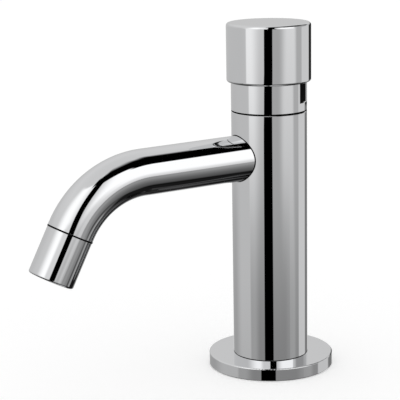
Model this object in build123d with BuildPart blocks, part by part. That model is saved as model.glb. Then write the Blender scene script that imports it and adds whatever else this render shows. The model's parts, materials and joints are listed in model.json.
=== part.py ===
from build123d import *
import os
from math import cos, pi, sin

os.makedirs("parts", exist_ok=True)

# Self-closing basin tap, in millimetres.
# The origin is the centre of the base flange's underside, on the deck that the tap is clamped to.
# +Z runs up the pillar's axis, and the spout points along -Y.

# Outside, as seen from a step away
body_r = 18.0
body_h = 118.75
body_edge = 0.25
flange_r = 30.0
flange_t = 6.0
flange_edge = 0.5
joint_line = 0.5
collar_show_h = 13.45
cap_overhang = 2.0
cap_h = 27.8
cap_top_edge = 1.4
cap_skirt_edge = 1.2
cap_skirt_inner_edge = 0.3

# Slot in the collar, with the guide sleeve's rib standing in it
slot_w = 7.5
slot_show_h = 9.1
slot_bearing = 35.0
slot_edge = 0.3
rib_set_back = 0.4

# Spout: straight run, one bend, short tail, then the outlet housing
spout_r = 10.9
spout_wall = 1.5
spout_drop = 21.05
spout_droop = 1.2
spout_run_length = 67.8
spout_bend_r = 41.9
spout_end_angle = 62.85
spout_tail = 1.1
spout_edge = 0.15
aerator_r = 10.8
aerator_h = 22.45
aerator_end_edge = 1.0

# Motion: how far the cap goes down
travel = 7.0
end_gap = 0.5

# Clearances: screwed or seated, sliding, skirt over collar, and how far cutters run past a face
fit_gap = 0.05
slide_gap = 0.1
skirt_gap = 0.3
overrun = 1.0
seal_cord_r = 0.9
small_cord_r = 0.6
groove_play = 0.3

# Levels of what is seen
body_bottom = flange_t
body_top = body_bottom + body_h
collar_bottom = body_top + joint_line
cap_bottom = collar_bottom + collar_show_h
cap_top = cap_bottom + cap_h
slot_floor = cap_bottom - slot_show_h
spout_z = body_top - spout_drop

# Half-inch pipe thread's outer radius, and the plug between it and the pillar
shank_r = 20.955 / 2
plug_wall = 3.0

# Pillar walls
body_wall = 3.0
neck_wall = 1.6
neck_depth = 7.75
bore_r = body_r - body_wall
lower_bore_r = shank_r + plug_wall
neck_r = body_r - neck_wall
shoulder_z = body_top - neck_depth

# Cartridge cylinder, hung on the pillar's inner shoulder
barrel_share = 0.83
barrel_wall = 2.0
barrel_flange_t = 2.5
barrel_r = barrel_share * bore_r
cylinder_r = barrel_r - barrel_wall
clamp_z = shoulder_z + barrel_flange_t

# Gland that closes the cylinder and carries the spring
gland_flange_t = 2.5
gland_thread_h = 6.0
gland_spanner_r = 0.9
gland_spanner_depth = 1.5
gland_spanner_count = 2
wiper_t = 1.5
wiper_w = 2.0
gland_top = slot_floor
barrel_top = gland_top - gland_flange_t
gland_bottom = barrel_top - gland_thread_h

# Spindle
spindle_share = 0.25
spindle_low_share = 0.78
spindle_tip_r = 2.5
spindle_top_r = 3.0
spindle_tip_edge = 0.4
clip_groove_depth = 0.5
spindle_r = spindle_share * body_r
spindle_low_r = spindle_low_share * spindle_r

# Piston stack on the spindle, from the top down
piston_headroom = 6.6
piston_t = 3.0
lip_h = 3.5
lip_w = 1.8
lip_web_share = 0.33
lip_root_share = 0.75
lip_hub_share = 0.76
seal_washer_t = 1.5
clip_t = 1.0
clip_w = 1.7
clip_mouth_w = 4.0
piston_top = gland_bottom - piston_headroom
piston_bottom = piston_top - piston_t
lip_bottom = piston_bottom - lip_h
seal_washer_bottom = lip_bottom - seal_washer_t
clip_bottom = seal_washer_bottom - clip_t
piston_r = cylinder_r - slide_gap
lip_hub_r = lip_hub_share * piston_r

# Cylinder floor, the metering wire that stands on it, and the outlet windows under it
floor_t = 2.5
window_h = 5.5
window_w = 10.0
needle_r = 0.6
needle_rise = 2.0
needle_share = 0.8
floor_top = clip_bottom - travel - end_gap
floor_bottom = floor_top - floor_t
barrel_bottom = floor_bottom - window_h
needle_place_r = needle_share * lip_hub_r

# Valve seat and the inlet chamber under it
seat_t = 6.0
lip_rise = 0.8
lip_land_w = 1.2
cup_wall = 4.5
valve_play = 1.5
lip_inset = 1.3
seat_bottom = barrel_bottom - seat_t
lip_z = seat_bottom - lip_rise
chamber_r = bore_r - cup_wall
valve_r = chamber_r - valve_play
seat_lip_r = valve_r - lip_inset
seat_bore_r = seat_lip_r - lip_land_w

# Valve on the spindle's tip
valve_washer_t = 3.0
holder_base_t = 2.0
holder_rim_w = 0.6
holder_rim_drop = 0.8
valve_nut_t = 3.2
valve_nut_af = 8.0
tip_stand_out = 0.5
valve_washer_bottom = lip_z - valve_washer_t
holder_bottom = valve_washer_bottom - holder_base_t
valve_nut_bottom = holder_bottom - valve_nut_t
spindle_bottom = valve_nut_bottom - tip_stand_out

# Inlet cup and riser
cup_floor_t = 1.5
riser_socket_h = 6.0
riser_r = 8.0
riser_wall = 1.5
chamber_floor = spindle_bottom - travel - end_gap
riser_top = chamber_floor - cup_floor_t
cup_bottom = riser_top - riser_socket_h
cup_seal_z = (seat_bottom + chamber_floor) / 2
riser_bore_r = riser_r - riser_wall

# Base plug and shank
shank_bore_r = 6.5
shank_drop = 52.0
shank_end_edge = 1.0
shank_relief_w = 2.0
shank_relief_depth = 1.1
supply_thread_h = 14.0
shank_hole_gap = 0.3
plug_thread_h = 12.0
plug_spigot_h = 2.0
plug_spigot_inset = 1.0
plug_web_t = 2.0
shank_top = body_bottom + plug_thread_h
riser_bottom = shank_top + plug_web_t
plug_top = riser_bottom + riser_socket_h
plug_spigot_r = lower_bore_r - plug_spigot_inset
supply_thread_top = supply_thread_h - shank_drop

# Filter in the shank's lower end
filter_wall = 0.6
filter_h = 12.0
filter_rim_w = 0.7
filter_rim_t = 0.8
filter_slot_w = 2.0
filter_slot_h = 7.0
filter_slot_count = 6

# Clamping below the deck
deck_t = 20.0
gasket_t = 1.5
gasket_outer_r = 27.4
gasket_w = 5.2
deck_washer_r = 17.0
deck_washer_t = 3.0
clamp_washer_t = 1.5
nut_af = 30.0
nut_t = 7.0
nut_edge = 0.6
deck_washer_bottom = -deck_t - deck_washer_t
clamp_washer_bottom = deck_washer_bottom - clamp_washer_t

# Cap, carrier and spring
cap_roof_t = 3.0
cap_seat_w = 2.3
carrier_rim_h = 3.5
carrier_room = 3.0
carrier_wall = 1.95
carrier_skirt_h = 19.0
spindle_nut_t = 2.5
spindle_nut_af = 10.0
sleeve_wall = 2.3
collar_wall = 2.6
collar_bore_gap = 0.4
spring_wire_r = 0.7
spring_grind = 0.5
spring_end_gap = 0.5
spring_turns = 7
cap_r = body_r + cap_overhang
cap_bore_r = body_r + skirt_gap
roof_z = cap_top - cap_roof_t
carrier_top = roof_z - carrier_room
carrier_bottom = carrier_top - carrier_rim_h
collar_top = carrier_bottom - travel - end_gap
sleeve_r = body_r - collar_wall - fit_gap
sleeve_bore_r = sleeve_r - sleeve_wall
carrier_r = sleeve_bore_r - slide_gap
carrier_bore_r = carrier_r - carrier_wall
spring_mean_r = (spindle_r + carrier_bore_r) / 2
rib_r = body_r - rib_set_back

# Spout's joint with the pillar
spout_gap = 0.2
nipple_r = 13.157 / 2
nipple_wall = 1.7
nipple_reach = 13.5
nipple_inset = 0.4
bush_seal_depth = 2.4
spout_bore_r = spout_r - spout_wall
bush_r = spout_bore_r - fit_gap
saddle_r = body_r + spout_gap
bush_end = saddle_r + nipple_reach + end_gap

# Outlet stack, counted along the outlet's axis from the spout's end
housing_spigot_h = 6.0
socket_relief = 0.15
housing_wall = 2.4
outlet_lip_t = 1.2
outlet_lip_w = 0.9
screen_t = 1.5
cell_pitch = 1.7
cell_wall = 0.35
cells_across = 11
insert_h = 12.0
insert_wall = 1.4
insert_roof_t = 2.0
jet_r = 0.7
jet_count = 12
regulator_t = 3.0
regulator_bore_r = 1.6
regulator_port_r = 0.9
regulator_port_count = 8
outlet_seal_t = 2.0
outlet_seal_w = 2.2
socket_r = spout_bore_r + socket_relief
housing_bore_r = aerator_r - housing_wall
housing_end = joint_line + aerator_h
screen_end = housing_end - outlet_lip_t
insert_end = screen_end - screen_t
regulator_end = insert_end - insert_h
outlet_seal_end = regulator_end - regulator_t
insert_r = housing_bore_r - fit_gap
port_ring_r = (insert_r - insert_wall) / 2 + regulator_bore_r / 2


def save(piece, name):
    """Label one finished piece and write it."""
    piece.label = name
    export_step(piece, f"parts/{name}.step")


def o_ring(centre_r, cord_r, *centre_heights):
    """Seal rings about the pillar's axis, one for each height."""
    with BuildPart() as rings:
        with BuildSketch(Plane.XZ):
            with Locations(*[(centre_r, height) for height in centre_heights]):
                Circle(cord_r)
        revolve(axis=Axis.Z)
    return rings.part


def groove(inner_r, outer_r, centre_z, cord_r):
    """Cutter for one seal groove about the pillar's axis."""
    with BuildPart() as cutter:
        with BuildSketch(Plane.XY.offset(centre_z)):
            Circle(outer_r)
            Circle(inner_r, mode=Mode.SUBTRACT)
        extrude(amount=cord_r + groove_play, both=True)
    return cutter.part


# Radii of the seals that sit inside a bore, and of those that sit round a shaft
bore_seal_r = bore_r - fit_gap - seal_cord_r
bore_groove_r = bore_seal_r - seal_cord_r - fit_gap
plug_seal_r = lower_bore_r - fit_gap - seal_cord_r
plug_groove_r = plug_seal_r - seal_cord_r - fit_gap
riser_seal_r = riser_r + fit_gap + seal_cord_r
riser_groove_r = riser_seal_r + seal_cord_r + fit_gap
gland_seal_r = spindle_r + slide_gap + seal_cord_r
gland_groove_r = gland_seal_r + seal_cord_r + fit_gap
floor_seal_r = spindle_low_r + slide_gap + small_cord_r
floor_groove_r = floor_seal_r + small_cord_r + fit_gap
land_bottom = spout_z + nipple_r + end_gap
cartridge_seal_z = (land_bottom + shoulder_z) / 2
riser_seal_low_z = (riser_bottom + plug_top) / 2
riser_seal_high_z = (cup_bottom + riser_top) / 2
gland_seal_z = (gland_bottom + barrel_top) / 2
floor_seal_z = (floor_bottom + floor_top) / 2
plug_seal_z = shank_top + plug_web_t / 2


# Base flange, with a seat for the plug's spigot on top and a groove for the gasket below
with BuildPart() as flange_disc:
    with BuildSketch():
        Circle(flange_r)
        Circle(shank_r + shank_hole_gap, mode=Mode.SUBTRACT)
    extrude(amount=flange_t)
    with BuildSketch(Plane.XY.offset(flange_t - plug_spigot_h)):
        Circle(plug_spigot_r + fit_gap)
    extrude(amount=plug_spigot_h + overrun, mode=Mode.SUBTRACT)
    with BuildSketch():
        Circle(gasket_outer_r + slide_gap)
        Circle(gasket_outer_r - gasket_w - slide_gap, mode=Mode.SUBTRACT)
    extrude(amount=gasket_t, mode=Mode.SUBTRACT)
    rims = flange_disc.edges().filter_by(GeomType.CIRCLE).group_by(SortBy.RADIUS)[-1].sort_by(Axis.Z)
    fillet(rims[-1], flange_edge)
    chamfer(rims[0], body_edge)
save(flange_disc.part, "flange_disc")

# Gasket under the flange
with BuildPart() as base_gasket:
    with BuildSketch():
        Circle(gasket_outer_r)
        Circle(gasket_outer_r - gasket_w, mode=Mode.SUBTRACT)
    extrude(amount=gasket_t)
save(base_gasket.part, "base_gasket")

# Axis of the spout, in the plane of the pillar's axis and the spout
spout_plane = Plane(origin=(0, 0, spout_z), x_dir=(0, -1, 0), z_dir=(-1, 0, 0))
with BuildLine(spout_plane) as spout_path:
    run = PolarLine((0, 0), spout_run_length, -spout_droop)
    bend = JernArc(run @ 1, run % 1, spout_bend_r, spout_droop - spout_end_angle)
    tail = Line(bend @ 1, (bend @ 1) + (bend % 1) * spout_tail)
inlet_plane = Plane(origin=run @ 0, x_dir=(1, 0, 0), z_dir=run % 0)
outlet_plane = Plane(origin=tail @ 1, x_dir=(1, 0, 0), z_dir=tail % 1)

# Pillar: plain tube outside, stepped bore inside, neck for the collar on top
with BuildPart() as pillar_body:
    with BuildSketch(Plane.XZ):
        with BuildLine():
            Polyline(
                (lower_bore_r, body_bottom),
                (body_r, body_bottom),
                (body_r, body_top),
                (neck_r, body_top),
                (neck_r, shoulder_z),
                (bore_r, shoulder_z),
                (bore_r, cup_bottom),
                (lower_bore_r, cup_bottom),
                close=True,
            )
        make_face()
    revolve(axis=Axis.Z)
    rims = pillar_body.edges().filter_by(GeomType.CIRCLE).group_by(SortBy.RADIUS)[-1]
    chamfer(rims, body_edge)
    with BuildSketch(inlet_plane):
        Circle(nipple_r + fit_gap)
    extrude(amount=body_r + overrun, mode=Mode.SUBTRACT)
save(pillar_body.part, "pillar_body")

# Plug in the foot of the pillar: shank below, riser above
with BuildPart() as base_plug:
    with BuildSketch(Plane.XZ):
        with BuildLine():
            Polyline(
                (shank_r + fit_gap, body_bottom - plug_spigot_h),
                (plug_spigot_r, body_bottom - plug_spigot_h),
                (plug_spigot_r, body_bottom),
                (lower_bore_r - fit_gap, body_bottom),
                (lower_bore_r - fit_gap, plug_top),
                (riser_r + fit_gap, plug_top),
                (riser_r + fit_gap, riser_bottom),
                (riser_bore_r, riser_bottom),
                (riser_bore_r, shank_top),
                (shank_r + fit_gap, shank_top),
                close=True,
            )
        make_face()
    revolve(axis=Axis.Z)
    add(groove(riser_r, riser_groove_r, riser_seal_low_z, seal_cord_r), mode=Mode.SUBTRACT)
    add(groove(plug_groove_r, lower_bore_r, plug_seal_z, seal_cord_r), mode=Mode.SUBTRACT)
save(base_plug.part, "base_plug")
save(o_ring(plug_seal_r, seal_cord_r, plug_seal_z), "base_plug_o_ring")

# Shank: upper thread for the nut, relief, lower thread for the supply hose
with BuildPart() as inlet_shank:
    with BuildSketch(Plane.XZ):
        with BuildLine():
            Polyline(
                (shank_bore_r, -shank_drop),
                (shank_r, -shank_drop),
                (shank_r, supply_thread_top),
                (shank_r - shank_relief_depth, supply_thread_top),
                (shank_r - shank_relief_depth, supply_thread_top + shank_relief_w),
                (shank_r, supply_thread_top + shank_relief_w),
                (shank_r, shank_top),
                (shank_bore_r, shank_top),
                close=True,
            )
        make_face()
    revolve(axis=Axis.Z)
    with BuildSketch(Plane.XY.offset(-shank_drop)):
        Circle(shank_bore_r + filter_rim_w + fit_gap)
    extrude(amount=filter_rim_t, mode=Mode.SUBTRACT)
    rims = inlet_shank.edges().filter_by(GeomType.CIRCLE).group_by(SortBy.RADIUS)[-1].sort_by(Axis.Z)
    chamfer([rims[0], rims[-1]], shank_end_edge)
save(inlet_shank.part, "inlet_shank")

# Thimble filter pushed into the shank's lower end
with BuildPart() as inlet_filter:
    with BuildSketch(Plane.XY.offset(-shank_drop)):
        Circle(shank_bore_r - fit_gap)
    extrude(amount=filter_h)
    with BuildSketch(Plane.XY.offset(-shank_drop)):
        Circle(shank_bore_r + filter_rim_w)
    extrude(amount=filter_rim_t)
    with BuildSketch(Plane.XY.offset(-shank_drop)):
        Circle(shank_bore_r - fit_gap - filter_wall)
    extrude(amount=filter_h - filter_wall, mode=Mode.SUBTRACT)
    with BuildSketch(Plane.XY.offset(-shank_drop + (filter_h - filter_slot_h) / 2)):
        with PolarLocations(shank_bore_r, filter_slot_count):
            Rectangle(shank_bore_r, filter_slot_w)
    extrude(amount=filter_slot_h, mode=Mode.SUBTRACT)
save(inlet_filter.part, "inlet_filter")

# Washers and nut under the deck
with BuildPart() as deck_washer:
    with BuildSketch(Plane.XY.offset(deck_washer_bottom)):
        Circle(deck_washer_r)
        Circle(shank_r + shank_hole_gap, mode=Mode.SUBTRACT)
    extrude(amount=deck_washer_t)
save(deck_washer.part, "deck_washer")

with BuildPart() as clamp_washer:
    with BuildSketch(Plane.XY.offset(clamp_washer_bottom)):
        Circle(deck_washer_r)
        Circle(shank_r + shank_hole_gap, mode=Mode.SUBTRACT)
    extrude(amount=clamp_washer_t)
    rims = clamp_washer.edges().filter_by(GeomType.CIRCLE).group_by(SortBy.RADIUS)[-1]
    chamfer(rims, body_edge)
save(clamp_washer.part, "clamp_washer")

with BuildPart() as fixing_nut:
    with BuildSketch(Plane.XY.offset(clamp_washer_bottom - nut_t)):
        RegularPolygon(nut_af / 2, side_count=6, major_radius=False)
        Circle(shank_r + fit_gap, mode=Mode.SUBTRACT)
    extrude(amount=nut_t)
    chamfer(fixing_nut.edges().filter_by(GeomType.LINE).group_by(Axis.Z)[0], nut_edge)
    chamfer(fixing_nut.edges().filter_by(GeomType.LINE).group_by(Axis.Z)[-1], nut_edge)
save(fixing_nut.part, "fixing_nut")

# Riser and its two seals
with BuildPart() as riser_tube:
    with BuildSketch(Plane.XY.offset(riser_bottom)):
        Circle(riser_r)
        Circle(riser_bore_r, mode=Mode.SUBTRACT)
    extrude(amount=riser_top - riser_bottom)
save(riser_tube.part, "riser_tube")
save(o_ring(riser_seal_r, seal_cord_r, riser_seal_low_z, riser_seal_high_z), "riser_o_rings")

# Inlet cup: riser socket below, valve chamber above
with BuildPart() as inlet_cup:
    with BuildSketch(Plane.XZ):
        with BuildLine():
            Polyline(
                (riser_r + fit_gap, cup_bottom),
                (bore_r - fit_gap, cup_bottom),
                (bore_r - fit_gap, seat_bottom),
                (chamber_r, seat_bottom),
                (chamber_r, chamber_floor),
                (riser_bore_r, chamber_floor),
                (riser_bore_r, riser_top),
                (riser_r + fit_gap, riser_top),
                close=True,
            )
        make_face()
    revolve(axis=Axis.Z)
    add(groove(riser_r, riser_groove_r, riser_seal_high_z, seal_cord_r), mode=Mode.SUBTRACT)
    add(groove(bore_groove_r, bore_r, cup_seal_z, seal_cord_r), mode=Mode.SUBTRACT)
save(inlet_cup.part, "inlet_cup")
save(o_ring(bore_seal_r, seal_cord_r, cup_seal_z), "inlet_cup_o_ring")

# Valve seat with its lip underneath
with BuildPart() as valve_seat:
    with BuildSketch(Plane.XZ):
        with BuildLine():
            Polyline(
                (seat_bore_r, lip_z),
                (seat_lip_r, lip_z),
                (seat_lip_r, seat_bottom),
                (bore_r - fit_gap, seat_bottom),
                (bore_r - fit_gap, barrel_bottom),
                (seat_bore_r, barrel_bottom),
                close=True,
            )
        make_face()
    revolve(axis=Axis.Z)
save(valve_seat.part, "valve_seat")

# Cartridge barrel: legs and windows, floor, cylinder, sealing land, flange
with BuildPart() as cartridge_barrel:
    with BuildSketch(Plane.XZ):
        with BuildLine():
            Polyline(
                (cylinder_r, barrel_bottom),
                (barrel_r, barrel_bottom),
                (barrel_r, land_bottom),
                (bore_r - fit_gap, land_bottom),
                (bore_r - fit_gap, shoulder_z),
                (neck_r - fit_gap, shoulder_z),
                (neck_r - fit_gap, clamp_z),
                (barrel_r, clamp_z),
                (barrel_r, barrel_top),
                (cylinder_r, barrel_top),
                (cylinder_r, floor_top),
                (spindle_low_r + slide_gap, floor_top),
                (spindle_low_r + slide_gap, floor_bottom),
                (cylinder_r, floor_bottom),
                close=True,
            )
        make_face()
    revolve(axis=Axis.Z)
    with BuildSketch(Plane.XY.offset(barrel_bottom)):
        Rectangle(bore_r + bore_r, window_w)
        Rectangle(window_w, bore_r + bore_r)
    extrude(amount=window_h, mode=Mode.SUBTRACT)
    add(groove(bore_groove_r, bore_r, cartridge_seal_z, seal_cord_r), mode=Mode.SUBTRACT)
    add(groove(spindle_low_r, floor_groove_r, floor_seal_z, small_cord_r), mode=Mode.SUBTRACT)
    with BuildSketch(Plane.XY.offset(floor_bottom)):
        with Locations((needle_place_r, 0)):
            Circle(needle_r + fit_gap)
    extrude(amount=floor_t, mode=Mode.SUBTRACT)
save(cartridge_barrel.part, "cartridge_barrel")
save(o_ring(bore_seal_r, seal_cord_r, cartridge_seal_z), "cartridge_o_ring")
save(o_ring(floor_seal_r, small_cord_r, floor_seal_z), "spindle_o_ring")

# Metering wire that stands on the floor and runs through the piston's bleed hole
with BuildPart() as metering_needle:
    with BuildSketch(Plane.XY.offset(floor_bottom)):
        with Locations((needle_place_r, 0)):
            Circle(needle_r)
    extrude(amount=piston_top + needle_rise - floor_bottom)
save(metering_needle.part, "metering_needle")

# Gland nut, its seal and the wiper round the spindle
with BuildPart() as gland_nut:
    with BuildSketch(Plane.XZ):
        with BuildLine():
            Polyline(
                (spindle_r + slide_gap, gland_bottom),
                (cylinder_r - fit_gap, gland_bottom),
                (cylinder_r - fit_gap, barrel_top),
                (barrel_r, barrel_top),
                (barrel_r, gland_top),
                (spindle_r + wiper_w, gland_top),
                (spindle_r + wiper_w, gland_top - wiper_t),
                (spindle_r + slide_gap, gland_top - wiper_t),
                close=True,
            )
        make_face()
    revolve(axis=Axis.Z)
    add(groove(spindle_r, gland_groove_r, gland_seal_z, seal_cord_r), mode=Mode.SUBTRACT)
    with BuildSketch(Plane.XY.offset(gland_top - gland_spanner_depth)):
        with PolarLocations((spring_mean_r + spring_wire_r + barrel_r) / 2, gland_spanner_count):
            Circle(gland_spanner_r)
    extrude(amount=gland_spanner_depth, mode=Mode.SUBTRACT)
save(gland_nut.part, "gland_nut")
save(o_ring(gland_seal_r, seal_cord_r, gland_seal_z), "gland_o_ring")

with BuildPart() as wiper_seal:
    with BuildSketch(Plane.XY.offset(gland_top - wiper_t)):
        Circle(spindle_r + wiper_w - fit_gap)
        Circle(spindle_r + slide_gap, mode=Mode.SUBTRACT)
    extrude(amount=wiper_t)
save(wiper_seal.part, "wiper_seal")

# Local plane of the slot, with its X pointing out through the middle of the slot
slot_plane = Plane.XY.rotated((0, 0, slot_bearing))

# Collar: threaded spigot in the pillar's neck, ring in sight, pocket for the guide sleeve
with BuildPart() as collar_ring:
    with BuildSketch(Plane.XZ):
        with BuildLine():
            Polyline(
                (barrel_r + collar_bore_gap, clamp_z),
                (neck_r - fit_gap, clamp_z),
                (neck_r - fit_gap, collar_bottom),
                (body_r, collar_bottom),
                (body_r, collar_top),
                (body_r - collar_wall, collar_top),
                (body_r - collar_wall, slot_floor),
                (barrel_r + collar_bore_gap, slot_floor),
                close=True,
            )
        make_face()
    revolve(axis=Axis.Z)
    rims = collar_ring.edges().filter_by(GeomType.CIRCLE).group_by(SortBy.RADIUS)[-1]
    chamfer(rims.sort_by(Axis.Z)[0], body_edge)
    with BuildSketch(slot_plane.offset(slot_floor)):
        with Locations((body_r, 0)):
            Rectangle(body_r, slot_w)
    extrude(amount=collar_top - slot_floor, mode=Mode.SUBTRACT)
    slot_edges = collar_ring.edges(Select.LAST).filter_by(
        lambda edge: all(abs(Vector(end.X, end.Y, 0).length - body_r) < fit_gap for end in edge.vertices())
    )
    slot_sides = slot_edges.filter_by(Axis.Z)
    slot_foot = [edge for edge in slot_edges.filter_by(GeomType.CIRCLE) if edge.center().Z < slot_floor + fit_gap]
    chamfer([*slot_sides, *slot_foot], slot_edge)
save(collar_ring.part, "collar_ring")

# Guide sleeve in the collar's pocket, with the rib that fills the slot nearly flush
with BuildPart() as guide_sleeve:
    with BuildSketch(Plane.XY.offset(slot_floor)):
        Circle(sleeve_r)
        Circle(sleeve_bore_r, mode=Mode.SUBTRACT)
    extrude(amount=collar_top - slot_floor)
    with BuildSketch(slot_plane.offset(slot_floor)):
        Circle(rib_r)
        with Locations((rib_r / 2, 0)):
            Rectangle(rib_r, slot_w - slide_gap, mode=Mode.INTERSECT)
        Circle(sleeve_bore_r, mode=Mode.SUBTRACT)
    extrude(amount=collar_top - slot_floor)
save(guide_sleeve.part, "guide_sleeve")

# Spindle, from the valve's tip to the cap's carrier
with BuildPart() as spindle:
    with BuildSketch(Plane.XZ):
        with BuildLine():
            Polyline(
                (0, spindle_bottom),
                (spindle_tip_r, spindle_bottom),
                (spindle_tip_r, lip_z),
                (spindle_low_r, lip_z),
                (spindle_low_r, clip_bottom),
                (spindle_low_r - clip_groove_depth, clip_bottom),
                (spindle_low_r - clip_groove_depth, seal_washer_bottom),
                (spindle_low_r, seal_washer_bottom),
                (spindle_low_r, piston_top),
                (spindle_r, piston_top),
                (spindle_r, carrier_bottom),
                (spindle_top_r, carrier_bottom),
                (spindle_top_r, carrier_top + spindle_nut_t),
                (0, carrier_top + spindle_nut_t),
                close=True,
            )
        make_face()
    revolve(axis=Axis.Z)
    tips = spindle.edges().filter_by(GeomType.CIRCLE).sort_by(Axis.Z)
    chamfer([tips[0], tips[-1]], spindle_tip_edge)
save(spindle.part, "spindle")

# Piston, lip seal and backing washer, each with the bleed hole for the metering wire
with BuildPart() as piston:
    with BuildSketch(Plane.XY.offset(piston_bottom)):
        Circle(piston_r)
        Circle(spindle_low_r + fit_gap, mode=Mode.SUBTRACT)
        with Locations((needle_place_r, 0)):
            Circle(needle_r + slide_gap, mode=Mode.SUBTRACT)
    extrude(amount=piston_t)
save(piston.part, "piston")

with BuildPart() as piston_lip_seal:
    with BuildSketch(Plane.XZ):
        with BuildLine():
            Polyline(
                (spindle_low_r + fit_gap, lip_bottom),
                (lip_hub_r, lip_bottom),
                (lip_hub_r, piston_bottom - lip_web_share * lip_h),
                (piston_r - lip_w / 2, lip_bottom),
                (piston_r, lip_bottom),
                (piston_r - (1 - lip_root_share) * lip_w, piston_bottom),
                (spindle_low_r + fit_gap, piston_bottom),
                close=True,
            )
        make_face()
    revolve(axis=Axis.Z)
    with BuildSketch(Plane.XY.offset(lip_bottom)):
        with Locations((needle_place_r, 0)):
            Circle(needle_r + slide_gap)
    extrude(amount=lip_h, mode=Mode.SUBTRACT)
save(piston_lip_seal.part, "piston_lip_seal")

with BuildPart() as seal_washer:
    with BuildSketch(Plane.XY.offset(seal_washer_bottom)):
        Circle(lip_hub_r)
        Circle(spindle_low_r + fit_gap, mode=Mode.SUBTRACT)
        with Locations((needle_place_r, 0)):
            Circle(needle_r + slide_gap, mode=Mode.SUBTRACT)
    extrude(amount=seal_washer_t)
save(seal_washer.part, "seal_washer")

# Clip in the spindle's groove, with its mouth round the metering wire
with BuildPart() as piston_clip:
    with BuildSketch(Plane.XY.offset(clip_bottom)):
        Circle(spindle_low_r + clip_w)
        Circle(spindle_low_r - clip_groove_depth + fit_gap, mode=Mode.SUBTRACT)
        with Locations((spindle_low_r, 0)):
            Rectangle(spindle_low_r + clip_w, clip_mouth_w, mode=Mode.SUBTRACT)
    extrude(amount=clip_t)
save(piston_clip.part, "piston_clip")

# Valve washer in its holder, and the nut under them
with BuildPart() as valve_washer:
    with BuildSketch(Plane.XY.offset(valve_washer_bottom)):
        Circle(valve_r - holder_rim_w - fit_gap)
        Circle(spindle_tip_r + fit_gap, mode=Mode.SUBTRACT)
    extrude(amount=valve_washer_t)
save(valve_washer.part, "valve_washer")

with BuildPart() as valve_holder:
    with BuildSketch(Plane.XY.offset(holder_bottom)):
        Circle(valve_r)
        Circle(spindle_tip_r + fit_gap, mode=Mode.SUBTRACT)
    extrude(amount=holder_base_t)
    with BuildSketch(Plane.XY.offset(valve_washer_bottom)):
        Circle(valve_r)
        Circle(valve_r - holder_rim_w, mode=Mode.SUBTRACT)
    extrude(amount=valve_washer_t - holder_rim_drop)
save(valve_holder.part, "valve_holder")

with BuildPart() as valve_nut:
    with BuildSketch(Plane.XY.offset(valve_nut_bottom)):
        RegularPolygon(valve_nut_af / 2, side_count=6, major_radius=False)
        Circle(spindle_tip_r + fit_gap, mode=Mode.SUBTRACT)
    extrude(amount=valve_nut_t)
save(valve_nut.part, "valve_nut")

# Carrier inside the cap: threaded rim above, guide skirt below
with BuildPart() as cap_carrier:
    with BuildSketch(Plane.XZ):
        with BuildLine():
            Polyline(
                (spindle_top_r + fit_gap, carrier_bottom),
                (carrier_bore_r, carrier_bottom),
                (carrier_bore_r, carrier_bottom - carrier_skirt_h),
                (carrier_r, carrier_bottom - carrier_skirt_h),
                (carrier_r, carrier_bottom),
                (cap_bore_r - fit_gap, carrier_bottom),
                (cap_bore_r - fit_gap, carrier_top),
                (spindle_top_r + fit_gap, carrier_top),
                close=True,
            )
        make_face()
    revolve(axis=Axis.Z)
save(cap_carrier.part, "cap_carrier")

with BuildPart() as spindle_nut:
    with BuildSketch(Plane.XY.offset(carrier_top)):
        RegularPolygon(spindle_nut_af / 2, side_count=6, major_radius=False)
        Circle(spindle_top_r + fit_gap, mode=Mode.SUBTRACT)
    extrude(amount=spindle_nut_t)
save(spindle_nut.part, "spindle_nut")

# Push cap: plain round top, skirt over the collar, inner seat on the carrier
with BuildPart() as push_cap:
    with BuildSketch(Plane.XY.offset(cap_bottom)):
        Circle(cap_r)
    extrude(amount=cap_h)
    rims = push_cap.edges().filter_by(GeomType.CIRCLE).sort_by(Axis.Z)
    fillet(rims[-1], cap_top_edge)
    fillet(rims[0], cap_skirt_edge)
    with BuildSketch(Plane.XY.offset(cap_bottom)):
        Circle(cap_bore_r)
    extrude(amount=carrier_top - cap_bottom, mode=Mode.SUBTRACT)
    with BuildSketch(Plane.XY.offset(cap_bottom)):
        Circle(cap_bore_r - cap_seat_w)
    extrude(amount=roof_z - cap_bottom, mode=Mode.SUBTRACT)
    mouth = push_cap.edges().filter_by(GeomType.CIRCLE).filter_by(
        lambda edge: abs(edge.radius - cap_bore_r) < fit_gap
    )
    chamfer(mouth.sort_by(Axis.Z)[0], cap_skirt_inner_edge)
save(push_cap.part, "push_cap")

# Return spring: quarter turns, each of two tangent arcs, with closed end turns ground flat
per_turn = 4
quarter_turns = per_turn * spring_turns
open_quarters = quarter_turns - per_turn - per_turn
end_turn_rise = 2 * spring_wire_r + spring_end_gap
coil_low = gland_top + spring_wire_r - spring_grind
coil_rise = carrier_bottom - gland_top - 2 * (spring_wire_r - spring_grind)
open_rise = (coil_rise - 2 * end_turn_rise) / open_quarters
coil_levels = [coil_low]
for quarter in range(quarter_turns):
    closed = quarter < per_turn or quarter >= quarter_turns - per_turn
    coil_levels.append(coil_levels[-1] + (end_turn_rise / per_turn if closed else open_rise))


def coil_point(quarter):
    """Point of the spring's centre line after this many quarter turns."""
    angle = quarter * pi / 2
    return Vector(spring_mean_r * cos(angle), spring_mean_r * sin(angle), coil_levels[quarter])


def coil_direction(quarter):
    """Unit tangent of the spring's centre line there."""
    angle = quarter * pi / 2
    before, after = max(quarter - 1, 0), min(quarter + 1, quarter_turns)
    rise = (coil_levels[after] - coil_levels[before]) / (after - before)
    along = spring_mean_r * pi / 2
    return Vector(-sin(angle) * along, cos(angle) * along, rise).normalized()


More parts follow.
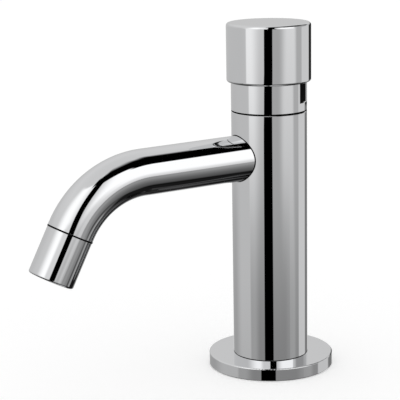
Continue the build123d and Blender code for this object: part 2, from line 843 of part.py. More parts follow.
def biarc_joint(start, start_way, end, end_way):
    """Where the two arcs of one quarter turn meet, and the way they point there."""
    chord = end - start
    ways = start_way + end_way
    spread = 2 * (1 - start_way.dot(end_way))
    reach = (-chord.dot(ways) + (chord.dot(ways) ** 2 + spread * chord.dot(chord)) ** 0.5) / spread
    first_knee = start + start_way * reach
    second_knee = end - end_way * reach
    return (first_knee + second_knee) / 2, (second_knee - first_knee).normalized()


with BuildPart() as return_spring:
    with BuildLine() as coil:
        for quarter in range(quarter_turns):
            start, end = coil_point(quarter), coil_point(quarter + 1)
            start_way, end_way = coil_direction(quarter), coil_direction(quarter + 1)
            joint, joint_way = biarc_joint(start, start_way, end, end_way)
            TangentArc(start, joint, tangent=start_way)
            TangentArc(joint, end, tangent=joint_way)
    with BuildSketch(Plane(origin=coil_point(0), z_dir=coil_direction(0))):
        Circle(spring_wire_r)
    sweep()
    with BuildSketch(Plane.XY.offset(gland_top)):
        Circle(spring_mean_r + spring_wire_r + overrun)
    extrude(amount=carrier_bottom - gland_top, mode=Mode.INTERSECT)
save(return_spring.part, "return_spring")

turn_rises = [above - below for below, above in zip(coil_levels, coil_levels[per_turn:])]
turn_gap = min(turn_rises) - 2 * spring_wire_r
print(f"return spring: least gap between turns {turn_gap:.2f} mm")

# Spout tube, its root cut to the pillar and a straight socket for the outlet housing in its end
with BuildPart() as spout_tube:
    add(spout_path.line)
    with BuildSketch(inlet_plane):
        Circle(spout_r)
        Circle(spout_bore_r, mode=Mode.SUBTRACT)
    sweep()
    with BuildSketch(Plane.XY.offset(spout_z)):
        Circle(saddle_r)
    extrude(amount=spout_r + spout_r, both=True, mode=Mode.SUBTRACT)
    end_rims = spout_tube.edges().filter_by(GeomType.CIRCLE).filter_by(
        lambda edge: abs(edge.radius - spout_r) < fit_gap
    )
    chamfer(end_rims.sort_by(Axis.Z)[0], spout_edge)
    with BuildSketch(outlet_plane.offset(-housing_spigot_h - end_gap)):
        Circle(socket_r)
    extrude(amount=housing_spigot_h + end_gap + overrun, mode=Mode.SUBTRACT)
save(spout_tube.part, "spout_tube")

# Bush in the spout's inlet end, nipple through the pillar's wall, and their seal
with BuildPart() as spout_bush:
    with BuildSketch(inlet_plane):
        Circle(bush_r)
        Circle(nipple_r + fit_gap, mode=Mode.SUBTRACT)
    extrude(amount=bush_end)
    with BuildSketch(inlet_plane):
        Circle(nipple_r + 2 * (seal_cord_r + fit_gap))
    extrude(amount=saddle_r + bush_seal_depth, mode=Mode.SUBTRACT)
    with BuildSketch(Plane.XY.offset(spout_z)):
        Circle(saddle_r)
    extrude(amount=spout_r + spout_r, both=True, mode=Mode.SUBTRACT)
save(spout_bush.part, "spout_bush")

with BuildPart() as spout_nipple:
    with BuildSketch(inlet_plane.offset(bore_r - nipple_inset)):
        Circle(nipple_r)
        Circle(nipple_r - nipple_wall, mode=Mode.SUBTRACT)
    extrude(amount=saddle_r + nipple_reach - bore_r + nipple_inset)
save(spout_nipple.part, "spout_nipple")

with BuildPart() as spout_o_ring:
    with BuildSketch(Plane(origin=inlet_plane.origin, x_dir=(1, 0, 0), z_dir=inlet_plane.y_dir)):
        with Locations((nipple_r + fit_gap + seal_cord_r, -(saddle_r + bush_seal_depth - seal_cord_r - fit_gap))):
            Circle(seal_cord_r)
    revolve(axis=Axis(inlet_plane.origin, inlet_plane.z_dir))
save(spout_o_ring.part, "spout_o_ring")

# Outlet housing: threaded spigot in the spout, plain tube in sight, inner lip at the mouth
with BuildPart() as aerator_housing:
    with BuildSketch(outlet_plane.offset(joint_line)):
        Circle(aerator_r)
    extrude(amount=aerator_h)
    end_rims = aerator_housing.edges().filter_by(GeomType.CIRCLE).sort_by(Axis(outlet_plane.origin, outlet_plane.z_dir))
    fillet(end_rims[-1], aerator_end_edge)
    chamfer(end_rims[0], spout_edge)
    with BuildSketch(outlet_plane.offset(-housing_spigot_h)):
        Circle(socket_r - fit_gap)
    extrude(amount=housing_spigot_h + joint_line)
    with BuildSketch(outlet_plane.offset(-housing_spigot_h)):
        Circle(housing_bore_r)
    extrude(amount=housing_spigot_h + screen_end, mode=Mode.SUBTRACT)
    with BuildSketch(outlet_plane.offset(screen_end)):
        Circle(housing_bore_r - outlet_lip_w)
    extrude(amount=outlet_lip_t + overrun, mode=Mode.SUBTRACT)
save(aerator_housing.part, "aerator_housing")

# Honeycomb screen at the mouth
cell_reach = insert_r - insert_wall - cell_pitch / 2
cells = HexLocations(cell_pitch / 2, cells_across, cells_across).local_locations
open_cells = [cell for cell in cells if cell.position.length < cell_reach]
with BuildPart() as aerator_screen:
    with BuildSketch(outlet_plane.offset(insert_end)):
        Circle(insert_r)
        with Locations(*open_cells):
            RegularPolygon((cell_pitch - cell_wall) / 2, side_count=6, major_radius=False, mode=Mode.SUBTRACT)
    extrude(amount=screen_t)
save(aerator_screen.part, "aerator_screen")

# Insert: cup with a ring of jets in its roof
with BuildPart() as aerator_body:
    with BuildSketch(outlet_plane.offset(regulator_end)):
        Circle(insert_r)
    extrude(amount=insert_h)
    with BuildSketch(outlet_plane.offset(regulator_end + insert_roof_t)):
        Circle(insert_r - insert_wall)
    extrude(amount=insert_h - insert_roof_t, mode=Mode.SUBTRACT)
    with BuildSketch(outlet_plane.offset(regulator_end)):
        with PolarLocations(port_ring_r, jet_count):
            Circle(jet_r)
    extrude(amount=insert_roof_t, mode=Mode.SUBTRACT)
save(aerator_body.part, "aerator_body")

# Flow regulator and the seal that presses on it
with BuildPart() as flow_regulator:
    with BuildSketch(outlet_plane.offset(outlet_seal_end)):
        Circle(insert_r)
        Circle(regulator_bore_r, mode=Mode.SUBTRACT)
        with PolarLocations(port_ring_r, regulator_port_count):
            Circle(regulator_port_r, mode=Mode.SUBTRACT)
    extrude(amount=regulator_t)
save(flow_regulator.part, "flow_regulator")

with BuildPart() as aerator_seal:
    with BuildSketch(outlet_plane.offset(outlet_seal_end - outlet_seal_t)):
        Circle(insert_r)
        Circle(insert_r - outlet_seal_w, mode=Mode.SUBTRACT)
    extrude(amount=outlet_seal_t)
save(aerator_seal.part, "aerator_seal")
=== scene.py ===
"""Looks of the self-closing basin tap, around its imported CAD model. Lengths are in metres."""

import json
from math import cos, degrees, radians, sin, tau

import bmesh
import bpy
from mathutils import Euler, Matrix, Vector


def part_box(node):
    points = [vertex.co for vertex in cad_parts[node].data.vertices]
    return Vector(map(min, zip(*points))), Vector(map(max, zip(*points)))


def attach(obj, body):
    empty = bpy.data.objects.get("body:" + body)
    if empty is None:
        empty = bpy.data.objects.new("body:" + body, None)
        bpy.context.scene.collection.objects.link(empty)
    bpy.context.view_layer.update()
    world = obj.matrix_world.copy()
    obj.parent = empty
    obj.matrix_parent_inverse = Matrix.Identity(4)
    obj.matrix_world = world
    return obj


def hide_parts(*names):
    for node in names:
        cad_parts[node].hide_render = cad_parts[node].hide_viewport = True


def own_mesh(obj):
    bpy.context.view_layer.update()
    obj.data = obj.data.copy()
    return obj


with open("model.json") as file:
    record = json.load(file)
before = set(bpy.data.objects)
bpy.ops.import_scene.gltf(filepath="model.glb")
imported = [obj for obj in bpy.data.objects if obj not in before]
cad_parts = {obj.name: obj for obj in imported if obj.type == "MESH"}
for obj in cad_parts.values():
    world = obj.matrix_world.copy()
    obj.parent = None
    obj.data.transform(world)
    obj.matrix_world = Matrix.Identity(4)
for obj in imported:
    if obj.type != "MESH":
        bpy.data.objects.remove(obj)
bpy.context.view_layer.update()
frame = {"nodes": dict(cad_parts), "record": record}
scene = bpy.context.scene
scene.view_settings.view_transform = "Standard"

MM = 0.001

# Camera, solved from the photograph's ellipses and straight edges: its turn in degrees, and its
# lens in millimetres
CAMERA_AT = (0.60617, -0.37059, 0.23868)
CAMERA_TURN = (77.525, 0.948, 61.046)
CAMERA_LENS = 136.23
CAMERA_CLIP = 0.01

camera_data = bpy.data.cameras.new("camera")
camera_data.lens = CAMERA_LENS
camera_data.clip_start = CAMERA_CLIP
camera = bpy.data.objects.new("camera", camera_data)
camera.location = CAMERA_AT
camera.rotation_euler = Euler([radians(angle) for angle in CAMERA_TURN])
scene.collection.objects.link(camera)
scene.camera = camera


# Helpers for node trees

def new_tree(owner):
    """Empty node tree of a material or a world."""
    owner.use_nodes = True
    owner.node_tree.nodes.clear()
    return owner.node_tree


def add_node(tree, kind, settings=None, **inputs):
    """Node with settings, and with values or linked sockets on its inputs.

    An input is named with underscores for spaces, or numbered as _0, _1 and so on.
    """
    node = tree.nodes.new(kind)
    for name, value in (settings or {}).items():
        setattr(node, name, value)
    for name, value in inputs.items():
        socket = node.inputs[int(name[1:]) if name[0] == "_" else name.replace("_", " ")]
        if isinstance(value, bpy.types.NodeSocket):
            tree.links.new(value, socket)
        else:
            socket.default_value = value
    return node


def finish_tree(tree, shader, output="ShaderNodeOutputMaterial"):
    """Link a shader node to a new output of the tree."""
    tree.links.new(shader.outputs[0], tree.nodes.new(output).inputs[0])


def maths(tree, operation, first, second=0.0):
    """Output of one Math node."""
    settings = {"operation": operation}
    return add_node(tree, "ShaderNodeMath", settings, _0=first, _1=second).outputs[0]


def wrapped(tree, value, low, high):
    """Value brought between low and high by whole turns."""
    settings = {"operation": "WRAP"}
    return add_node(tree, "ShaderNodeMath", settings, _0=value, _1=high, _2=low).outputs[0]


def remap(tree, value, low, high, to_low, to_high):
    """Output of a Map Range node."""
    inputs = {"_0": value, "_1": low, "_2": high, "_3": to_low, "_4": to_high}
    return add_node(tree, "ShaderNodeMapRange", **inputs).outputs[0]


def smooth_step(tree, value, low, high):
    """Smooth step of a value from 0 at low to 1 at high."""
    settings = {"interpolation_type": "SMOOTHSTEP"}
    return add_node(tree, "ShaderNodeMapRange", settings, _0=value, _1=low, _2=high).outputs[0]


def window(tree, value, start, full, full_end, end):
    """Smooth window: 0, up to 1, and back to 0."""
    rise = smooth_step(tree, value, start, full)
    return maths(tree, "SUBTRACT", rise, smooth_step(tree, value, full_end, end))


def noise(tree, scale, detail, stretch=(1, 1, 1)):
    """Factor of a Noise Texture over the object's coordinates, which stretch scales by axis."""
    place = add_node(tree, "ShaderNodeTexCoord").outputs["Object"]
    place = add_node(tree, "ShaderNodeMapping", Vector=place, Scale=stretch).outputs[0]
    return add_node(tree, "ShaderNodeTexNoise", Vector=place, Scale=scale, Detail=detail).outputs[0]


def bumped(tree, height, strength, distance):
    """Normal with a bump from a height between 0 and 1."""
    inputs = {"Strength": strength, "Distance": distance, "Height": height}
    return add_node(tree, "ShaderNodeBump", **inputs).outputs[0]


def colour_mix(tree, factor, first, second):
    """Output of a colour Mix node."""
    node = add_node(tree, "ShaderNodeMix", {"data_type": "RGBA"}, _0=factor, _6=first, _7=second)
    return node.outputs[2]


def grey(level):
    """Grey colour of a level of light."""
    return (level, level, level, 1)


# Materials. A scale is in features per metre. A spread is the part of a noise's range that is
# mapped to the roughness.

CHROME_COLOUR = (0.83, 0.835, 0.845, 1)
CHROME_ROUGHNESS = (0.014, 0.028)
HAZE_SCALE, HAZE_DETAIL, HAZE_STRETCH, HAZE_SPREAD = 90.0, 3.0, (1, 1, 0.35), (0.35, 0.7)
WAVE_SCALE, WAVE_DETAIL, WAVE_STRENGTH, WAVE_HEIGHT = 45.0, 1.0, 0.015, 0.4 * MM
# Painted shade: where ambient occlusion finds a deep joint within this reach, the chrome's colour
# darkens to this level
CREVICE_SHADE_LEVEL, CREVICE_SHADE_REACH, CREVICE_SHADE_SAMPLES = 0.02, 1 * MM, 8
CREVICE_SHADE_OPENNESS = (0.25, 0.62)

METAL_SPREAD = (0.3, 0.7)
RING_SCALE, RING_DETAIL, RING_STRETCH = 1.0, 4.0, (60, 60, 9000)
RING_STRENGTH, RING_HEIGHT = 0.25, 0.05 * MM
BLOTCH_SCALE, BLOTCH_DETAIL = 160.0, 3.0
METAL_SMOOTHER, METAL_ROUGHER = 0.05, 0.08

GRAIN_SPREAD = (0.3, 0.7)
GRAIN_SCALE, GRAIN_DETAIL, GRAIN_HEIGHT = 2600.0, 2.0, 0.04 * MM
BLOOM_SCALE, BLOOM_DETAIL = 180.0, 4.0
MOULDED_VARIES = 0.06
USUAL_GLOSS = 0.5


def polished_chrome():
    """Bright plating, almost a mirror.

    It has a faint wipe haze, slight waviness, and painted shade darkening deep joints.
    """
    material = bpy.data.materials.new("chrome_polished")
    tree = new_tree(material)
    haze = noise(tree, HAZE_SCALE, HAZE_DETAIL, HAZE_STRETCH)
    wave = noise(tree, WAVE_SCALE, WAVE_DETAIL)
    # Painted shade: the colour goes dark where ambient occlusion finds the surface closed in
    occlusion = {"samples": CREVICE_SHADE_SAMPLES}
    openness = add_node(tree, "ShaderNodeAmbientOcclusion", occlusion, Distance=CREVICE_SHADE_REACH)
    unshaded = remap(tree, openness.outputs["AO"], *CREVICE_SHADE_OPENNESS, 0, 1)
    finish_tree(tree, add_node(
        tree,
        "ShaderNodeBsdfPrincipled",
        Base_Color=colour_mix(tree, unshaded, grey(CREVICE_SHADE_LEVEL), CHROME_COLOUR),
        Metallic=1.0,
        Roughness=remap(tree, haze, *HAZE_SPREAD, *CHROME_ROUGHNESS),
        Normal=bumped(tree, wave, WAVE_STRENGTH, WAVE_HEIGHT),
    ))
    return material


def turned_metal(name, pale, deep, roughness):
    """Machined metal with fine turning rings and a slightly uneven colour."""
    material = bpy.data.materials.new(name)
    tree = new_tree(material)
    rings = noise(tree, RING_SCALE, RING_DETAIL, RING_STRETCH)
    blotch = noise(tree, BLOTCH_SCALE, BLOTCH_DETAIL)
    low, high = roughness - METAL_SMOOTHER, roughness + METAL_ROUGHER
    finish_tree(tree, add_node(
        tree,
        "ShaderNodeBsdfPrincipled",
        Base_Color=colour_mix(tree, blotch, pale, deep),
        Metallic=1.0,
        Roughness=remap(tree, rings, *METAL_SPREAD, low, high),
        Normal=bumped(tree, rings, RING_STRENGTH, RING_HEIGHT),
    ))
    return material


def moulded(name, pale, deep, roughness, grain, gloss=USUAL_GLOSS):
    """Moulded plastic or rubber with a fine grain, and a little dust or bloom in its colour."""
    material = bpy.data.materials.new(name)
    tree = new_tree(material)
    fine = noise(tree, GRAIN_SCALE, GRAIN_DETAIL)
    broad = noise(tree, BLOOM_SCALE, BLOOM_DETAIL)
    low, high = roughness - MOULDED_VARIES, roughness + MOULDED_VARIES
    finish_tree(tree, add_node(
        tree,
        "ShaderNodeBsdfPrincipled",
        Base_Color=colour_mix(tree, broad, pale, deep),
        Roughness=remap(tree, fine, *GRAIN_SPREAD, low, high),
        Specular_IOR_Level=gloss,
        Normal=bumped(tree, fine, grain, GRAIN_HEIGHT),
    ))
    return material


BRASS_PALE, BRASS_DEEP = (0.80, 0.60, 0.27, 1), (0.70, 0.50, 0.21, 1)
STEEL_PALE, STEEL_DEEP = (0.66, 0.66, 0.67, 1), (0.57, 0.57, 0.58, 1)
WHITE_PALE, WHITE_DEEP = (0.84, 0.84, 0.81, 1), (0.78, 0.78, 0.75, 1)
BLACK_PALE, BLACK_DEEP = grey(0.003), grey(0.006)
RUBBER_PALE, RUBBER_DEEP = grey(0.022), (0.035, 0.035, 0.034, 1)

looks = {
    "chrome": polished_chrome(),
    "brass": turned_metal("brass_turned", BRASS_PALE, BRASS_DEEP, roughness=0.26),
    "stainless": turned_metal("steel_turned", STEEL_PALE, STEEL_DEEP, roughness=0.28),
    "black_acetal": moulded(
        "acetal_black", BLACK_PALE, BLACK_DEEP, roughness=0.55, grain=0.25, gloss=0.01
    ),
    "white_acetal": moulded("acetal_white", WHITE_PALE, WHITE_DEEP, roughness=0.38, grain=0.25),
    "rubber": moulded("rubber_black", RUBBER_PALE, RUBBER_DEEP, roughness=0.68, grain=0.5),
}
slot_of = {row["node"]: row["material_slot"] for row in frame["record"]["subparts"]}


def dress(piece, slot):
    """Give a piece the material of one of the record's slots."""
    piece.data.materials.clear()
    piece.data.materials.append(looks[slot])


# Only these show in the chrome. As in the photograph, the pillar mirrors neither the spout nor
# the flange.
MIRRORED = ("push_cap", "collar_ring", "guide_sleeve", "pillar_body", "collar_seal")
for name, node in frame["nodes"].items():
    dress(node, slot_of[name])
    node.visible_glossy = name in MIRRORED


# Helpers for the pieces that the scene adds

TUBE_SIDES = 12


def on_circle(radius, angle, height):
    """Point at an angle around the pillar's axis."""
    return Vector((radius * cos(angle), radius * sin(angle), height))


def tube_along(points, radius, closed=False, flatness=1.0):
    """Mesh of a wire along points that run round their middle, as a ring or with two flat ends.

    Its radius is towards the side, and flatness is what its outward radius is as a share of that.
    """
    mesh = bmesh.new()
    middle = sum(points, Vector()) / len(points)
    last = len(points) - 1
    rings = []
    for index, point in enumerate(points):
        after = (index + 1) % len(points) if closed else min(index + 1, last)
        before = index - 1 if closed else max(index - 1, 0)
        ahead = (points[after] - points[before]).normalized()
        upward = ahead.cross(point - middle).normalized()
        outward = upward.cross(ahead)
        ring = []
        for side in range(TUBE_SIDES):
            angle = tau * side / TUBE_SIDES
            offset = cos(angle) * flatness * outward + sin(angle) * upward
            ring.append(mesh.verts.new(point + radius * offset))
        rings.append(ring)
    for low, high in zip(rings, rings[1:] + (rings[:1] if closed else [])):
        for side in range(TUBE_SIDES):
            after = (side + 1) % TUBE_SIDES
            mesh.faces.new((low[side], high[side], high[after], low[after])).smooth = True
    if not closed:
        mesh.faces.new(rings[0])
        mesh.faces.new(reversed(rings[-1]))
    bmesh.ops.recalc_face_normals(mesh, faces=mesh.faces)
    return mesh


def make_piece(mesh, name, slot, body):
    """Object from a bmesh, with its slot's finish, riding on a body."""
    data = bpy.data.meshes.new(name)
    mesh.to_mesh(data)
    mesh.free()
    piece = bpy.data.objects.new(name, data)
    piece.visible_glossy = name in MIRRORED
    scene.collection.objects.link(piece)
    dress(piece, slot)
    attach(piece, body)
    return piece


# Return spring, at the length of the model's spring; the real one shortens as the cap goes down

WIRE_R = 0.7 * MM
SPRING_TURNS = 7
STEPS_PER_TURN = 32
CLOSED_TURN_RISE = 1.9 * MM


def spring_points(low, high):
    """Points along the spring's wire, with one closed turn at each end, within a box."""
    radius = (high.x - low.x) / 2 - WIRE_R
    bottom, top = low.z + WIRE_R, high.z - WIRE_R
    open_rise = (top - bottom - 2 * CLOSED_TURN_RISE) / (SPRING_TURNS - 2)
    points = []
    for count in range(SPRING_TURNS * STEPS_PER_TURN + 1):
        turns = count / STEPS_PER_TURN
        closed = min(turns, 1) + max(turns - SPRING_TURNS + 1, 0)
        height = bottom + closed * CLOSED_TURN_RISE + (turns - closed) * open_rise
        points.append(on_circle(radius, tau * turns, height))
    return points


spring_low, spring_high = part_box("return_spring")
spring_mesh = tube_along(spring_points(spring_low, spring_high), WIRE_R)
spring = make_piece(spring_mesh, "return_spring_wire", "stainless", "tap_body")
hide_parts("return_spring")
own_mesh(spring)


# Inlet shank with its half-inch pipe thread, which is right-handed and ends in the flange

SHANK_R = 10.4775 * MM
SHANK_BORE_R = 6.5 * MM
SHANK_EDGE = 1.0 * MM
FILTER_SEAT_R = 7.25 * MM
FILTER_SEAT_H = 0.8 * MM
RELIEF_R = SHANK_R - 1.1 * MM
RELIEF_LOW, RELIEF_HIGH = -38 * MM, -36 * MM
THREAD_PITCH = 1.814 * MM
THREAD_DEPTH = 1.08 * MM
THREAD_STEPS = 12
THREAD_END = 5 * MM
THREAD_FADE = 2 * MM
SHANK_SIDES = 72


def thread_rows(low, high):
    """Rows of a threaded length, both ends included."""
    count = round((high - low) / THREAD_PITCH * THREAD_STEPS)
    return [(SHANK_R, low + (high - low) * step / count, True) for step in range(count + 1)]


def thread_radius(limit, height, angle):
    """Radius of the thread at a height and an angle, within a limit."""
    depth = THREAD_DEPTH * min(max((THREAD_END - height) / THREAD_FADE, 0), 1)
    groove = (1 + cos(tau * height / THREAD_PITCH - angle)) / 2
    return min(limit, SHANK_R - depth * groove)


def shank_rows(low, high):
    """Rows of the shank's section: radius, height, and whether the thread is cut there."""
    seat_top = low + FILTER_SEAT_H
    return [
        (SHANK_R - SHANK_EDGE, low, True),
        *thread_rows(low + SHANK_EDGE, RELIEF_LOW),
        (RELIEF_R, RELIEF_LOW, False),
        (RELIEF_R, RELIEF_HIGH, False),
        *thread_rows(RELIEF_HIGH, THREAD_END),
        (SHANK_R, high - SHANK_EDGE, False),
        (SHANK_R - SHANK_EDGE, high, False),
        (SHANK_BORE_R, high, False),
        (SHANK_BORE_R, seat_top, False),
        (FILTER_SEAT_R, seat_top, False),
        (FILTER_SEAT_R, low, False),
    ]


def shank_mesh():
    """Shank turned from the rows of its section, smooth only along its straight lengths."""
    low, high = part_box("inlet_shank")
    rows = shank_rows(low.z, high.z)
    mesh = bmesh.new()
    rings = []
    for limit, height, cut in rows:
        ring = []
        for side in range(SHANK_SIDES):
            angle = tau * side / SHANK_SIDES
            radius = thread_radius(limit, height, angle) if cut else limit
            ring.append(mesh.verts.new(on_circle(radius, angle, height)))
        rings.append(ring)
    for index, ring in enumerate(rings):
        above = (index + 1) % len(rings)
        next_ring = rings[above]
        straight = rows[index][0] == rows[above][0] and rows[index][1] != rows[above][1]
        for side in range(SHANK_SIDES):
            after = (side + 1) % SHANK_SIDES
            face = mesh.faces.new((ring[side], ring[after], next_ring[after], next_ring[side]))
            face.smooth = straight
    bmesh.ops.recalc_face_normals(mesh, faces=mesh.faces)
    return mesh


shank = make_piece(shank_mesh(), "inlet_shank_threaded", "brass", "tap_body")
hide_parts("inlet_shank")


# Thin black rings in the joints, which are painted shade: they make the joints show as dark lines.
# The tap's sizes are the CAD model's.

PILLAR_R = 18 * MM
PILLAR_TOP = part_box("pillar_body")[1].z
JOINT_LINE = 0.5 * MM
SPOUT_R = 10.9 * MM
SPOUT_Z = 103.7 * MM
SPOUT_DROOP = radians(1.2)
SPOUT_RUN = 67.8 * MM
SPOUT_BEND_R = 41.9 * MM
SPOUT_END_ANGLE = radians(62.85)
SPOUT_TAIL = 1.1 * MM

SHADE_RING_STEPS = 96
COLLAR_SHADE_RING_R = 0.23 * MM
COLLAR_SHADE_RING_SET_BACK = 0.3 * MM
ROOT_SHADE_RING_R = 0.34 * MM
HOUSING_SHADE_RING_R = 0.38 * MM
HOUSING_SHADE_RING_FLATNESS = 0.25
HOUSING_SHADE_RING_SET_BACK = 0.04 * MM


def collar_joint(angle):
    """Point in the joint between pillar and collar."""
    return on_circle(PILLAR_R - COLLAR_SHADE_RING_SET_BACK, angle, PILLAR_TOP + JOINT_LINE / 2)


def spout_root(angle):
    """Point on the line where the spout's outside meets the pillar's."""
    aside, upward = SPOUT_R * cos(angle), SPOUT_R * sin(angle)
    reach = (PILLAR_R**2 - aside**2) ** 0.5
    out = (reach - upward * sin(SPOUT_DROOP)) / cos(SPOUT_DROOP)
    height = SPOUT_Z - out * sin(SPOUT_DROOP) + upward * cos(SPOUT_DROOP)
    return Vector((aside, -reach, height))


def housing_joint(angle):
    """Point in the joint between the spout's end and the outlet housing."""
    tail = SPOUT_TAIL + JOINT_LINE / 2
    reach = SPOUT_R - HOUSING_SHADE_RING_SET_BACK
    turn = sin(SPOUT_END_ANGLE) - sin(SPOUT_DROOP)
    drop = cos(SPOUT_DROOP) - cos(SPOUT_END_ANGLE)
    along = SPOUT_RUN * cos(SPOUT_DROOP) + SPOUT_BEND_R * turn + tail * cos(SPOUT_END_ANGLE)
    down = SPOUT_RUN * sin(SPOUT_DROOP) + SPOUT_BEND_R * drop + tail * sin(SPOUT_END_ANGLE)
    middle = Vector((0, -along, SPOUT_Z - down))
    across = Vector((0, -sin(SPOUT_END_ANGLE), cos(SPOUT_END_ANGLE)))
    return middle + reach * (cos(angle) * Vector((1, 0, 0)) + sin(angle) * across)


# Painted shade: each ring is a black tube laid in a joint, so that the joint shows dark
for name, place, radius, flatness in (
    ("collar_seal", collar_joint, COLLAR_SHADE_RING_R, 1.0),
    ("spout_root_seal", spout_root, ROOT_SHADE_RING_R, 1.0),
    ("housing_seal", housing_joint, HOUSING_SHADE_RING_R, HOUSING_SHADE_RING_FLATNESS),
):
    circle = [place(tau * step / SHADE_RING_STEPS) for step in range(SHADE_RING_STEPS)]
    shade_ring_mesh = tube_along(circle, radius, True, flatness)
    make_piece(shade_ring_mesh, name, "black_acetal", "tap_body")


# Floor, just below the deck face, and a little brighter to the camera so that it shows white

FLOOR_HALF = 3.0
FLOOR_CELLS = 4
FLOOR_DROP = 0.2 * MM
FLOOR_LEVEL = 0.9
FLOOR_LIFT = 0.34


def floor_look():
    """Pale dull floor, with some light of its own for the camera alone."""
    material = bpy.data.materials.new("floor_pale")
    tree = new_tree(material)
    dull = add_node(tree, "ShaderNodeBsdfDiffuse", Color=grey(FLOOR_LEVEL)).outputs[0]
    to_camera = add_node(tree, "ShaderNodeLightPath").outputs["Is Camera Ray"]
    lift = maths(tree, "MULTIPLY", to_camera, FLOOR_LIFT)
    whiter = add_node(tree, "ShaderNodeEmission", Strength=lift).outputs[0]
    finish_tree(tree, add_node(tree, "ShaderNodeAddShader", _0=dull, _1=whiter))
    return material


def make_floor():
    """Floor object, which the chrome doesn't mirror."""
    mesh = bmesh.new()
    bmesh.ops.create_grid(mesh, x_segments=FLOOR_CELLS, y_segments=FLOOR_CELLS, size=FLOOR_HALF)
    data = bpy.data.meshes.new("floor")
    mesh.to_mesh(data)
    mesh.free()
    data.materials.append(floor_look())
    plate = bpy.data.objects.new("floor", data)
    plate.location = (0, 0, -FLOOR_DROP)
    plate.visible_glossy = False
    scene.collection.objects.link(plate)
    return plate


floor = make_floor()


# Studio that the chrome mirrors, by direction: azimuth in degrees to the right of the camera, and
# elevation in degrees.

CAMERA_AZIMUTH = -31.44
HALF_TURN = 180
UPRIGHT = 90
SOFT_LIGHT = 0.75

# What is behind the cards: elevation and light
SURROUND = (
    (-90, 0.60), (-67, 0.55), (-63, 0.10), (-58.5, 0.07), (-56, 0.01), (-50, 0.005),
    (-46.5, 0.07), (-43.5, 0.10), (-37.5, 0.125), (-31.5, 0.175), (-25.5, 0.235), (-22.5, 0.28),
    (-20, 0.36), (-16.5, 0.39), (-13.5, 0.43), (-10.5, 0.52), (-7, 0.56), (0, 0.58),
    (12, 0.60), (22, 0.66), (45, 0.72), (66, 0.68), (90, 0.66),
)

# Each card covers what comes before it. Its numbers are its light, where it starts, is full, is
# still full and ends along the azimuth, and the same along the elevation.
CARDS = {
    "wall_left": (0.56, (-135, -95, -66, -60), (-26, -14, 0, 6)),
    "table_right": (0.70, (28, 50, 80, 88), (-17.5, -7.5, 2, 10)),
    "table_front": (0.42, (6, 10, 24, 44), (-30, -20, -7, 2)),
    "table_far_right": (0.66, (97, 101, 133, 140), (-36, -12, 6, 10)),
    "card_edge": (0.28, (78, 90, 97, 101), (-32, -22, 6, 10)),
    "card_edge_top": (0.46, (74, 84, 97, 101), (-20, -9, 6, 10)),
    "card_end": (0.20, (136, 141, 164, 169), (-28, -22, 6, 12)),
    "card_end_top": (0.01, (138, 143, 168, 172), (-9.0, -8.8, 6, 12)),
    "card_end_foot": (0.03, (108, 122, 154, 164), (-80, -70, -32, -24)),
    "foot_shade": (0.08, (83, 87, 93, 97), (-46, -43, -28, -22)),
    "foot_dark": (0.01, (84, 90, 140, 146), (-64, -60, -44, -38)),
    "foot_void": (0.01, (108, 112, 146, 152), (-50, -44, -27, -22)),
    "foot_light": (0.36, (97, 101, 108, 111), (-38, -35, -24, -20)),
    "front_shade": (0.25, (-50, -30, 46, 74), (-26, -19, -19.5, -10.5)),
    "left_softbox": (1.20, (-80, -38, -30, 14), (-13, 14, 58, 62.5)),
    "left_softbox_corner": (0.78, (-34, -20, 8, 12), (3, 8, 18, 26)),
    "left_softbox_foot": (0.97, (-66, -61, -52, -20), (-17, -5, 0, 8)),
    "right_softbox": (1.20, (16, 40, 70, 77), (-6, 14, 47, 52)),
    "right_softbox_foot": (1.20, (40, 54, 70, 77), (-11, 8, 20, 30)),
    "far_right_shade": (0.36, (80, 90, 120, 134), (10, 16, 36, 40)),
    "far_right_flag": (0.02, (84, 96, 144, 150), (34, 38, 54, 62)),
    "far_right_flag_low": (0.02, (122, 132, 144, 150), (16, 24, 40, 44)),
    "right_flag": (0.0, (12, 18, 112, 135), (45.5, 49, 66, 76)),
    "right_flag_low": (0.0, (46, 53, 104, 122), (40.5, 43, 66, 76)),
    "top_flag": (0.0, (-4, 14, 76, 118), (62, 66, 70, 86)),
    "gap_top": (0.0, (-13, -8, 24, 34), (53.5, 57, 64, 70)),
    "table_behind": (0.98, (163, 176, 183, 200), (-46, -25, -20, -2)),
}

# Black gap between the softboxes, in front of everything else: elevation, and the azimuths of its
# left and right edges there. It fades out between the elevations of GAP_FADE.
LENS_GAP = (
    (-18, -17.7, 9.5), (-10, -16.3, 9.4), (-9, -14.8, 9.4), (-8.3, -14.4, 9.5), (-8.2, -12.7, 10.0),
    (-6, -12.2, 10.2), (0, -5.0, 21.5), (8, -1.4, 20.5), (18, -1.4, 18.5), (70, -1.4, 18.5),
)
GAP_FADE = (74, 66)
GAP_SOFT = 0.8

# An azimuth is kept in a colour ramp as its share of this span, from the middle of 0 to 1
RAMP_SPAN = 60
RAMP_MIDDLE = 0.5


def ray_angles(tree):
    """Azimuth of a ray, from -180 to 180 degrees, and its elevation."""
    ray = add_node(tree, "ShaderNodeTexCoord").outputs["Generated"]
    along_x, along_y, along_z = add_node(tree, "ShaderNodeSeparateXYZ", _0=ray).outputs
    turn = maths(tree, "MULTIPLY", maths(tree, "ARCTAN2", along_y, along_x), degrees(1))
    azimuth = wrapped(tree, maths(tree, "SUBTRACT", turn, CAMERA_AZIMUTH), -HALF_TURN, HALF_TURN)
    elevation = maths(tree, "MULTIPLY", maths(tree, "ARCSINE", along_z), degrees(1))
    return azimuth, elevation


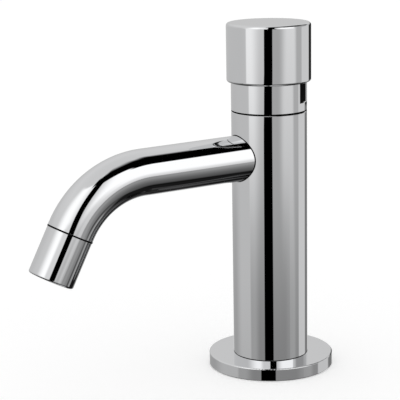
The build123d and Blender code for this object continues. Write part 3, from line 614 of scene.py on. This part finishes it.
def by_elevation(tree, elevation, rows):
    """Colour that follows the elevation through rows of elevation, red and green."""
    ramp = add_node(tree, "ShaderNodeValToRGB", _0=remap(tree, elevation, -UPRIGHT, UPRIGHT, 0, 1))
    marks = ramp.color_ramp.elements
    while len(marks) < len(rows):
        marks.new(RAMP_MIDDLE)
    for mark, (height, red, green) in zip(marks, rows):
        mark.position = (height + UPRIGHT) / (2 * UPRIGHT)
        mark.color = (red, green, red, 1)
    return ramp.outputs[0]


def lens_gap(tree, azimuth, elevation):
    """Cover of the black gap between the softboxes."""
    rows = []
    for height, left, right in LENS_GAP:
        rows.append((height, left / RAMP_SPAN + RAMP_MIDDLE, right / RAMP_SPAN + RAMP_MIDDLE))
    kept = add_node(tree, "ShaderNodeSeparateColor", _0=by_elevation(tree, elevation, rows)).outputs
    past = []
    for share in kept[:2]:
        edge = maths(tree, "MULTIPLY", maths(tree, "SUBTRACT", share, RAMP_MIDDLE), RAMP_SPAN)
        past.append(smooth_step(tree, maths(tree, "SUBTRACT", azimuth, edge), -GAP_SOFT, GAP_SOFT))
    between = maths(tree, "SUBTRACT", *past)
    return maths(tree, "MULTIPLY", between, smooth_step(tree, elevation, *GAP_FADE))


def studio_light(tree):
    """Colour of the studio in the direction of a ray."""
    azimuth, elevation = ray_angles(tree)
    azimuth_on = wrapped(tree, azimuth, 0, 2 * HALF_TURN)
    rows = [(height, level, level) for height, level in SURROUND]
    light = by_elevation(tree, elevation, rows)
    for level, across, up in CARDS.values():
        around = azimuth_on if across[-1] > HALF_TURN else azimuth
        cover = maths(tree, "MULTIPLY", window(tree, around, *across), window(tree, elevation, *up))
        light = colour_mix(tree, cover, light, grey(level))
    return colour_mix(tree, lens_gap(tree, azimuth, elevation), light, grey(0))


def backdrop(tree, colour, strength):
    """Output of a Background shader."""
    return add_node(tree, "ShaderNodeBackground", Color=colour, Strength=strength).outputs[0]


def studio_world():
    """World that is white to the camera, plain to dull surfaces, and a studio to shiny ones."""
    world = bpy.data.worlds.new("studio")
    tree = new_tree(world)
    rays = add_node(tree, "ShaderNodeLightPath").outputs
    seen_through = maths(tree, "MAXIMUM", rays["Is Camera Ray"], rays["Is Transmission Ray"])
    white = backdrop(tree, grey(1), 1.0)
    soft = backdrop(tree, grey(1), SOFT_LIGHT)
    cards = backdrop(tree, studio_light(tree), 1.0)
    lit = add_node(tree, "ShaderNodeMixShader", _0=rays["Is Glossy Ray"], _1=soft, _2=cards)
    final = add_node(tree, "ShaderNodeMixShader", _0=seen_through, _1=lit.outputs[0], _2=white)
    finish_tree(tree, final, "ShaderNodeOutputWorld")
    return world


scene.world = studio_world()
